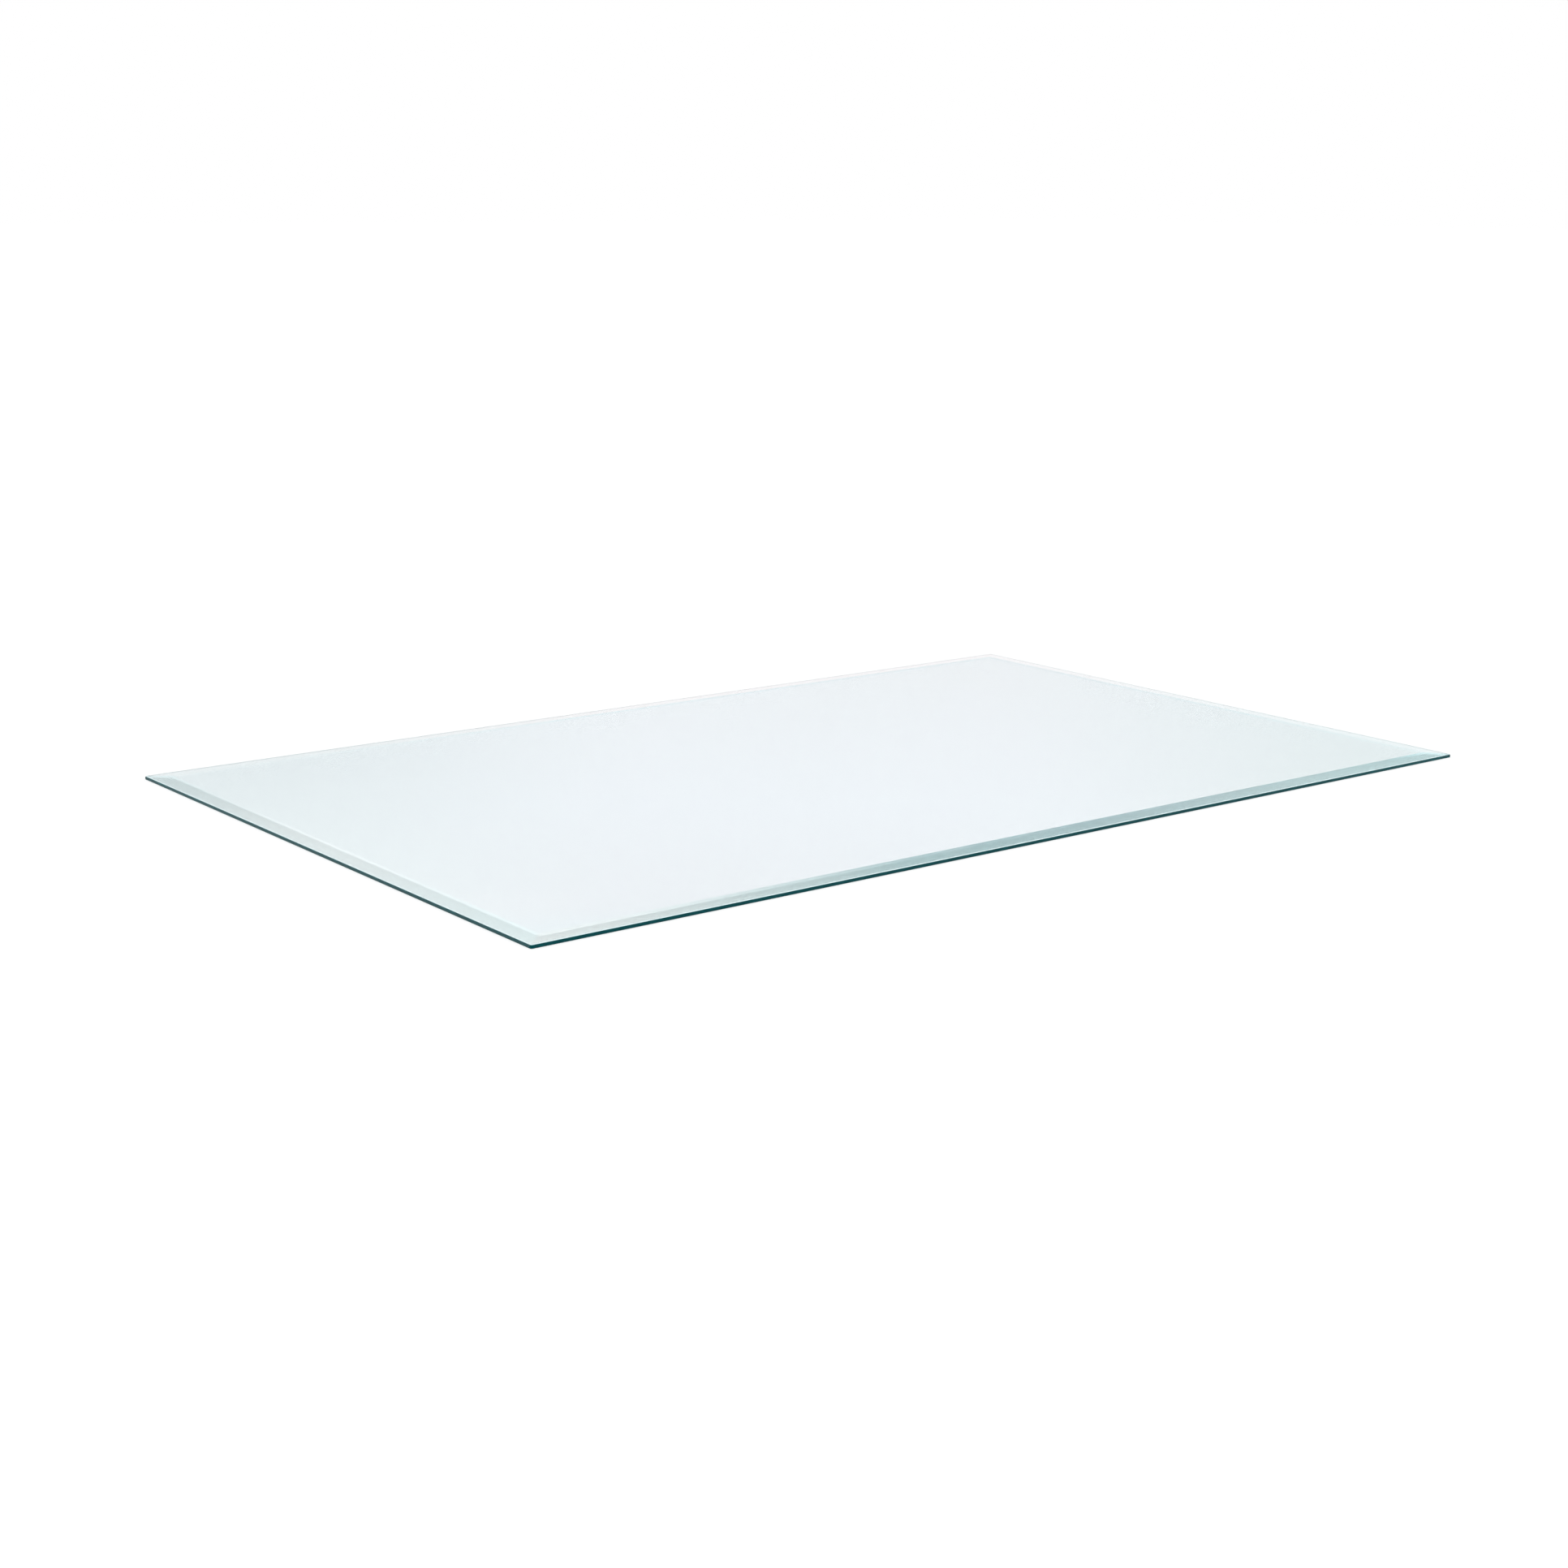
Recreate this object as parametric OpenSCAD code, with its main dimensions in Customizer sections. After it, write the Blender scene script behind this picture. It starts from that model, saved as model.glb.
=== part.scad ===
// Glass chair mat: one flat pane of clear tempered glass that lies on the floor under an office
// chair. A wide, shallow bevel is ground and polished round the top face, so that the casters roll
// up onto it. The bevels of neighbouring sides meet in mitres. They leave an upright edge. An arris
// takes the sharpness off each of its rims, wider on the upper one, and the four corners of the
// outline are slightly rounded.
//
// Millimetres, +Z up. The origin is the middle of the underside, on the floor.
// +X runs along the long sides.

/* [Pane] */

// Length of the pane along X
pane_length = 1219.2; // [900:0.1:1600]
// Width of the pane along Y
pane_width = 762; // [600:0.1:1300]
// Thickness between the two flat faces
glass_thickness = 4.8; // [4:0.1:12]
// Radius of the outline's corners
corner_radius = 2.5; // [2.5:0.1:8]

/* [Bevel] */

// Width of the bevel, seen from above
bevel_width = 22; // [10:0.5:40]
// Drop of the bevel from the top face to the upright edge
bevel_depth = 1.2; // [0.5:0.05:1.8]

/* [Arrises] */

// Height of the arris between the upright edge and the bevel
upper_arris = 0.9; // [0.3:0.05:1.2]
// Height of the arris between the upright edge and the underside
lower_arris = 0.4; // [0.2:0.05:0.6]

/* [Hidden] */

// Pale blue-green of clear float glass
glass_colour = [0.82, 0.92, 0.92, 0.45];

// How far the bevel's cutting wedge runs past the glass
overrun = 5;

// Height of the virtual rim where the bevel would meet the upright edge
edge_height = glass_thickness - bevel_depth;

// Place of a corner's centre
corner_x = pane_length / 2 - corner_radius;
corner_y = pane_width / 2 - corner_radius;

$fn = 96;

// Half of the section across the slab, from its middle out to its upright edge. Both arrises lean
// in at 45 degrees. The upper one runs on past the height at which the bevel will cut it off.
module half_section(reach) {
    lean = 2 * upper_arris;
    foot = edge_height - upper_arris;
    polygon([
        [0, 0],
        [reach - lower_arris, 0],
        [reach, lower_arris],
        [reach, foot],
        [reach - lean, foot + lean],
        [reach - lean, glass_thickness],
        [0, glass_thickness],
    ]);
}

// Bar with the whole section, as wide as span along X and as long as run along Y
module slab_bar(span, run) {
    rotate([90, 0, 0])
        linear_extrude(height = run, center = true)
            union() {
                half_section(span / 2);
                mirror([1, 0]) half_section(span / 2);
            }
}

// Blank with rounded corners and both arrises, before the bevel is ground
module slab() {
    slab_bar(pane_length, 2 * corner_y);
    rotate([0, 0, 90]) slab_bar(pane_width, 2 * corner_x);
    for (side_x = [-1, 1], side_y = [-1, 1])
        translate([side_x * corner_x, side_y * corner_y, 0])
            rotate_extrude() half_section(corner_radius);
}

// What grinding takes off along the two edges that lie span apart along X and run along Y
module ground_away(span, run) {
    reach = bevel_width + overrun;
    fall = bevel_depth * reach / bevel_width;
    for (side = [0, 1])
        mirror([side, 0, 0])
            translate([span / 2 - bevel_width, 0, glass_thickness])
                rotate([90, 0, 0])
                    linear_extrude(height = run + 2 * overrun, center = true)
                        polygon([[0, 0], [reach, -fall], [reach, overrun], [0, overrun]]);
}

// The pane: the blank, less one wedge along each of its four sides
module glass_pane() {
    color(glass_colour)
        difference() {
            slab();
            ground_away(pane_length, pane_width);
            rotate([0, 0, 90]) ground_away(pane_width, pane_length);
        }
}

glass_pane();
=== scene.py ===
import math

import bpy
from mathutils import Matrix, Vector


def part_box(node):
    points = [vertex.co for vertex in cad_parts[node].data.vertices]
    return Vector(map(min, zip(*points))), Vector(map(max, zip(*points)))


# A glass chair mat: one clear pane with a ground bevel, on a pale floor in a soft studio light
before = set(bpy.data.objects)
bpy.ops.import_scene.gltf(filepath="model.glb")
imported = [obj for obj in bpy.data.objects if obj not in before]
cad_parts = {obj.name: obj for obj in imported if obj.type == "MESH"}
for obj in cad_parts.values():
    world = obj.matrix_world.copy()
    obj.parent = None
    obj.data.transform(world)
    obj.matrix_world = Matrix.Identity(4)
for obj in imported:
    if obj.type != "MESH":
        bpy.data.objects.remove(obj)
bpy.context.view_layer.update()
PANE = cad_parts["glass_pane"]
LOW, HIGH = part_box("glass_pane")
LENGTH = (HIGH - LOW).x

# Camera: where it stands from the middle of the underside, in pane lengths, and how it is turned.
# Its lens and sensor are in millimetres, and its reach is in metres
CAMERA_PLACE = (-1.3836, -1.7163, 0.5121)
CAMERA_AZIMUTH = math.radians(-38.143)
CAMERA_ELEVATION = math.radians(13.449)
CAMERA_ROLL = math.radians(0.434)
CAMERA_LENS = 57.92
CAMERA_SENSOR = 36.0
CAMERA_REACH = 200.0

WHITE = (1.00, 1.00, 1.00)
BLACK = (0.00, 0.00, 0.00)

# Glass: how it refracts, and how strongly it absorbs red, green and blue light, per metre
GLASS_IOR = 1.52
ABSORPTION = (8.0, 3.3, 3.1)

# Kinds of face. A face is flat if the upright part of its normal is above this
FLAT_FROM = 0.9997
# Heights as shares of the pane's thickness: the underside is below the first, and the lip,
# where the upper arris turns into the bevel, lies between the others; its whitish scatter is partly a
# ground finish and partly a painted highlight
UNDERSIDE_TO = 0.01
LIP_FROM = 0.69
LIP_TO = 0.77

# Finish of each kind of face
ROUGHNESS = {"top": 0.02, "underside": 0.02, "bevel": 0.06, "lip": 0.50, "edge": 0.40}
# Share of the light that the surface scatters and doesn't let through; on the bevel, lip and edge this
# share carries the painted light and shade of the tints below
SCATTERED = {"top": 0.00, "underside": 0.02, "bevel": 0.25, "lip": 0.85, "edge": 0.60}
# Tint of the light that is scattered or let through
TINT = {
    "top": WHITE,
    "underside": WHITE,
    # The bevel's pale cyan haze is partly the haze of its polish and partly painted light, standing for
    # light carried inside the pane
    "bevel": (0.90, 0.98, 0.98),
    # The lip's whitish scatter is partly a satin ground finish and partly a painted highlight along the
    # rim
    "lip": (0.84, 0.98, 1.00),
    # The edge's dark teal scatter is painted shade: the deep green that light on long paths through the
    # glass gives the edge
    "edge": (0.00, 0.08, 0.09),
}
# Tint of what the face mirrors where it is seen straight on; the edge's black is painted shade that
# takes away its reflection
MIRROR = {"top": WHITE, "underside": WHITE, "bevel": WHITE, "lip": WHITE, "edge": BLACK}

# Cloudy smears all over the glass: how many to a metre, their detail, how far they move the roughness
SMEAR_SCALE = 9.0
SMEAR_DETAIL = 3.0
SMEAR_ROUGHNESS = 0.015
# Patches in the ground faces: how many to a metre, their detail, how far they move the scattered share
GRINDING_SCALE = 60.0
GRINDING_DETAIL = 2.0
GRINDING_SHARE = 0.03

# Floor: how far it lies below the pane and how wide it is, in metres, then how it reflects and glows
FLOOR_GAP = 0.0003
FLOOR_SIZE = 60.0
FLOOR_WHITE = 0.30
FLOOR_ROUGHNESS = 0.9
FLOOR_GLOW = 0.72

# Studio light by height above the horizon, as the sine of the elevation: a low wall in three strips,
# left, middle and right as the camera looks, and above them a ceiling
WALL_MIDDLE = [
    (0.00, (1.00, 0.86, 0.88)),
    (0.12, (1.00, 0.86, 0.88)),
    (0.17, (0.80, 0.80, 0.83)),
    (0.24, (0.78, 0.82, 0.90)),
    (0.28, (0.70, 0.72, 0.80)),
    (0.31, (0.34, 0.68, 0.80)),
    (0.34, (0.50, 0.94, 1.00)),
    (0.38, (1.80, 1.70, 1.70)),
]
WALL_LEFT = [
    (0.13, (0.75, 0.74, 0.76)),
    (0.17, (0.67, 0.73, 0.77)),
    (0.22, (0.58, 0.66, 0.70)),
    (0.27, (0.68, 0.80, 0.83)),
    (0.30, (1.15, 1.16, 1.18)),
    (0.36, (1.22, 1.18, 1.18)),
]
WALL_RIGHT = [
    (0.13, (0.84, 0.87, 0.89)),
    (0.17, (0.64, 0.73, 0.75)),
    (0.24, (0.60, 0.70, 0.72)),
    (0.28, (0.90, 1.30, 1.34)),
    (0.36, (1.15, 1.30, 1.35)),
]
CEILING = [
    (0.42, (1.05, 1.03, 1.03)),
    (0.55, (1.10, 1.10, 1.10)),
    (1.00, (1.08, 1.10, 1.10)),
]
# The colours of a ramp end at 1, so it holds shares of the brightest light
BRIGHTEST = 1.80
# Which way the right end of the wall lies, clockwise from +X as seen from above
WALL_AZIMUTH = math.radians(39)
# Where a side strip fades in and where it is full, as the sine of the angle from the wall's middle
STRIP_EDGE = (0.06, 0.24)

# Light paths: how many bounces they may have, and how bright a bounced one may be
BOUNCES = 256
BRIGHTEST_PATH = 1.5


def math_node(tree, operation, a, b=None):
    """A Math node; a and b are numbers or sockets."""
    node = tree.nodes.new("ShaderNodeMath")
    node.operation = operation
    for socket, value in zip(node.inputs, (a, b)):
        if isinstance(value, bpy.types.NodeSocket):
            tree.links.new(value, socket)
        elif value is not None:
            socket.default_value = value
    return node.outputs["Value"]


def mix_colours(tree, a, b, factor):
    """A colour socket between a and b; each is a colour or a socket."""
    mix = tree.nodes.new("ShaderNodeMix")
    mix.data_type = "RGBA"
    for name, value in (("A", a), ("B", b)):
        if isinstance(value, bpy.types.NodeSocket):
            tree.links.new(value, mix.inputs[name])
        else:
            mix.inputs[name].default_value = (*value, 1)
    tree.links.new(factor, mix.inputs["Factor"])
    return mix.outputs["Result"]


def smooth_step(tree, value, low, high):
    """A socket that rises smoothly from 0 at low to 1 at high."""
    node = tree.nodes.new("ShaderNodeMapRange")
    node.interpolation_type = "SMOOTHSTEP"
    node.inputs["From Min"].default_value = low
    node.inputs["From Max"].default_value = high
    tree.links.new(value, node.inputs["Value"])
    return node.outputs["Result"]


def face_masks(tree):
    """Sockets that are 1 on one kind of face and 0 elsewhere.

    The edge is all that slopes or stands upright below the lip, so it takes in the lower arris and
    most of the upper one.
    """
    coordinates = tree.nodes.new("ShaderNodeTexCoord")
    place = tree.nodes.new("ShaderNodeSeparateXYZ")
    normal = tree.nodes.new("ShaderNodeSeparateXYZ")
    tree.links.new(coordinates.outputs["Generated"], place.inputs["Vector"])
    tree.links.new(coordinates.outputs["Normal"], normal.inputs["Vector"])
    height = place.outputs["Z"]
    level = math_node(tree, "ABSOLUTE", normal.outputs["Z"])
    flat = math_node(tree, "GREATER_THAN", level, FLAT_FROM)
    edgework = math_node(tree, "SUBTRACT", 1.0, flat)
    at_bottom = math_node(tree, "LESS_THAN", height, UNDERSIDE_TO)
    above_edge = math_node(tree, "MULTIPLY", edgework, math_node(tree, "GREATER_THAN", height, LIP_FROM))
    bevel = math_node(tree, "MULTIPLY", edgework, math_node(tree, "GREATER_THAN", height, LIP_TO))
    return {
        "underside": math_node(tree, "MULTIPLY", flat, at_bottom),
        "bevel": bevel,
        "lip": math_node(tree, "SUBTRACT", above_edge, bevel),
        "edge": math_node(tree, "SUBTRACT", edgework, above_edge),
    }


def by_face(tree, masks, values):
    """A socket with values["top"] everywhere but on the masked faces, which have their own."""
    top = values["top"]
    total = top
    for name, mask in masks.items():
        difference = math_node(tree, "MULTIPLY", mask, values[name] - top)
        total = math_node(tree, "ADD", total, difference)
    return total


def colour_by_face(tree, masks, colours):
    """A colour socket with colours["top"] everywhere but on the masked faces, which have their own."""
    last = colours["top"]
    for name, mask in masks.items():
        last = mix_colours(tree, last, colours[name], mask)
    return last


def unevenness(tree, scale, detail, amount):
    """A socket with soft patches between -amount and amount, scale of them to a metre."""
    coordinates = tree.nodes.new("ShaderNodeTexCoord")
    noise = tree.nodes.new("ShaderNodeTexNoise")
    noise.inputs["Scale"].default_value = scale
    noise.inputs["Detail"].default_value = detail
    tree.links.new(coordinates.outputs["Object"], noise.inputs["Vector"])
    signed = math_node(tree, "MULTIPLY", math_node(tree, "SUBTRACT", noise.outputs["Fac"], 0.5), 2.0)
    return math_node(tree, "MULTIPLY", signed, amount)


def finish_and_paint_faces(tree, glass):
    """Gives the glass shader each face's finish, painted shade on the edge, a partly painted highlight
    on the lip and partly painted light on the bevel, with smears all over and patches where it scatters.
    """
    masks = face_masks(tree)
    rough = by_face(tree, masks, ROUGHNESS)
    clear = by_face(tree, masks, {name: 1 - share for name, share in SCATTERED.items()})
    scattered = math_node(tree, "SUBTRACT", 1.0, clear)
    smears = unevenness(tree, SMEAR_SCALE, SMEAR_DETAIL, SMEAR_ROUGHNESS)
    patches = unevenness(tree, GRINDING_SCALE, GRINDING_DETAIL, GRINDING_SHARE)
    patches_on_ground = math_node(tree, "MULTIPLY", patches, scattered)
    tree.links.new(math_node(tree, "ADD", rough, smears), glass.inputs["Roughness"])
    tree.links.new(math_node(tree, "ADD", clear, patches_on_ground), glass.inputs["Transmission Weight"])
    # Base Color and Specular Tint carry the painted shade of the edge, the partly painted highlight of
    # the lip and the partly painted light of the bevel
    tree.links.new(colour_by_face(tree, masks, TINT), glass.inputs["Base Color"])
    tree.links.new(colour_by_face(tree, masks, MIRROR), glass.inputs["Specular Tint"])


def absorption(tree):
    """The inside of the glass, which takes out more red than green and blue along the light's way."""
    inside = tree.nodes.new("ShaderNodeVolumeAbsorption")
    strongest = max(ABSORPTION)
    inside.inputs["Density"].default_value = strongest
    inside.inputs["Color"].default_value = (*[1 - a / strongest for a in ABSORPTION], 1)
    return inside.outputs["Volume"]


def clear_glass():
    """Clear float glass: it refracts, takes red out along its depth and is ground along its edges; its
    edge, lip and bevel carry painted shade and light.
    """
    material = bpy.data.materials.new("clear_float_glass")
    material.use_nodes = True
    tree = material.node_tree
    tree.nodes.clear()
    output = tree.nodes.new("ShaderNodeOutputMaterial")
    glass = tree.nodes.new("ShaderNodeBsdfPrincipled")
    glass.inputs["IOR"].default_value = GLASS_IOR
    finish_and_paint_faces(tree, glass)
    tree.links.new(glass.outputs["BSDF"], output.inputs["Surface"])
    tree.links.new(absorption(tree), output.inputs["Volume"])
    return material


def floor_material():
    """Matt pale grey that glows white from within, as a light table does."""
    material = bpy.data.materials.new("floor_white")
    material.use_nodes = True
    surface = material.node_tree.nodes["Principled BSDF"]
    surface.inputs["Base Color"].default_value = (FLOOR_WHITE, FLOOR_WHITE, FLOOR_WHITE, 1)
    surface.inputs["Roughness"].default_value = FLOOR_ROUGHNESS
    surface.inputs["Specular IOR Level"].default_value = 0.0
    surface.inputs["Emission Color"].default_value = (*WHITE, 1)
    surface.inputs["Emission Strength"].default_value = FLOOR_GLOW
    return material


def pale_floor():
    """A plain studio floor just under the pane."""
    mesh = bpy.data.meshes.new("floor")
    half = FLOOR_SIZE / 2
    z = LOW.z - FLOOR_GAP
    corners = [(-half, -half, z), (half, -half, z), (half, half, z), (-half, half, z)]
    mesh.from_pydata(corners, [], [(0, 1, 2, 3)])
    mesh.materials.append(floor_material())
    floor = bpy.data.objects.new("floor", mesh)
    bpy.context.scene.collection.objects.link(floor)


def height_ramp(tree, height, stops):
    """A colour socket that runs through the stops from the horizon upwards.

    New elements of the ramp start halfway, and then each takes its own place.
    """
    ramp = tree.nodes.new("ShaderNodeValToRGB")
    tree.links.new(height, ramp.inputs["Fac"])
    elements = ramp.color_ramp.elements
    while len(elements) < len(stops):
        elements.new(0.5)
    for element, (place, colour) in zip(elements, stops):
        element.position = place
        element.color = (*[c / BRIGHTEST for c in colour], 1)
    return ramp.outputs["Color"]


def wall_and_ceiling(tree):
    """A socket with the studio light's colour in each direction, as shares of the brightest."""
    coordinates = tree.nodes.new("ShaderNodeTexCoord")
    direction = coordinates.outputs["Generated"]
    split = tree.nodes.new("ShaderNodeSeparateXYZ")
    tree.links.new(direction, split.inputs["Vector"])
    height = split.outputs["Z"]
    across = tree.nodes.new("ShaderNodeVectorMath")
    across.operation = "DOT_PRODUCT"
    across.inputs[1].default_value = (math.cos(WALL_AZIMUTH), -math.sin(WALL_AZIMUTH), 0)
    tree.links.new(direction, across.inputs[0])
    right = across.outputs["Value"]
    left = math_node(tree, "MULTIPLY", right, -1.0)
    light = height_ramp(tree, height, WALL_MIDDLE + CEILING)
    for side, wall in ((left, WALL_LEFT), (right, WALL_RIGHT)):
        strip = height_ramp(tree, height, wall + CEILING)
        light = mix_colours(tree, light, strip, smooth_step(tree, side, *STRIP_EDGE))
    return light


def studio_world():
    """Soft light from all round, and a plain white backdrop where the camera looks past the floor."""
    world = bpy.data.worlds.new("studio")
    bpy.context.scene.world = world
    world.use_nodes = True
    tree = world.node_tree
    studio = tree.nodes["Background"]
    tree.links.new(wall_and_ceiling(tree), studio.inputs["Color"])
    studio.inputs["Strength"].default_value = BRIGHTEST
    backdrop = tree.nodes.new("ShaderNodeBackground")
    backdrop.inputs["Color"].default_value = (*WHITE, 1)
    paths = tree.nodes.new("ShaderNodeLightPath")
    both = tree.nodes.new("ShaderNodeMixShader")
    tree.links.new(paths.outputs["Is Camera Ray"], both.inputs["Fac"])
    tree.links.new(studio.outputs["Background"], both.inputs[1])
    tree.links.new(backdrop.outputs["Background"], both.inputs[2])
    tree.links.new(both.outputs["Shader"], tree.nodes["World Output"].inputs["Surface"])


def camera():
    """The viewpoint: low down beyond the near corner of the pane."""
    lens = bpy.data.cameras.new("camera")
    lens.sensor_width = CAMERA_SENSOR
    lens.lens = CAMERA_LENS
    lens.clip_end = CAMERA_REACH
    viewpoint = bpy.data.objects.new("camera", lens)
    bpy.context.scene.collection.objects.link(viewpoint)
    level = math.cos(CAMERA_ELEVATION)
    x = math.sin(CAMERA_AZIMUTH) * level
    y = -math.cos(CAMERA_AZIMUTH) * level
    back = Vector((x, y, math.sin(CAMERA_ELEVATION)))
    right = Vector((0, 0, 1)).cross(back).normalized()
    up = back.cross(right)
    turn = Matrix((right, up, back)).transposed().to_4x4()
    place = Matrix.Translation(Vector(CAMERA_PLACE) * LENGTH)
    viewpoint.matrix_world = place @ turn @ Matrix.Rotation(CAMERA_ROLL, 4, "Z")
    bpy.context.scene.camera = viewpoint


def light_paths():
    """Light is reflected many times inside the pane before it leaves by the far edge.

    Rare bright paths are capped, and noise is cleaned from the colours alone, because what the
    other passes show deep in the glass is as noisy as the picture itself.
    """
    cycles = bpy.context.scene.cycles
    cycles.max_bounces = BOUNCES
    cycles.glossy_bounces = BOUNCES
    cycles.transmission_bounces = BOUNCES
    cycles.blur_glossy = 0.0
    cycles.sample_clamp_indirect = BRIGHTEST_PATH
    cycles.denoising_input_passes = "RGB"


PANE.material_slots[0].material = clear_glass()
pale_floor()
studio_world()
camera()
light_paths()
bpy.context.scene.view_settings.view_transform = "Standard"
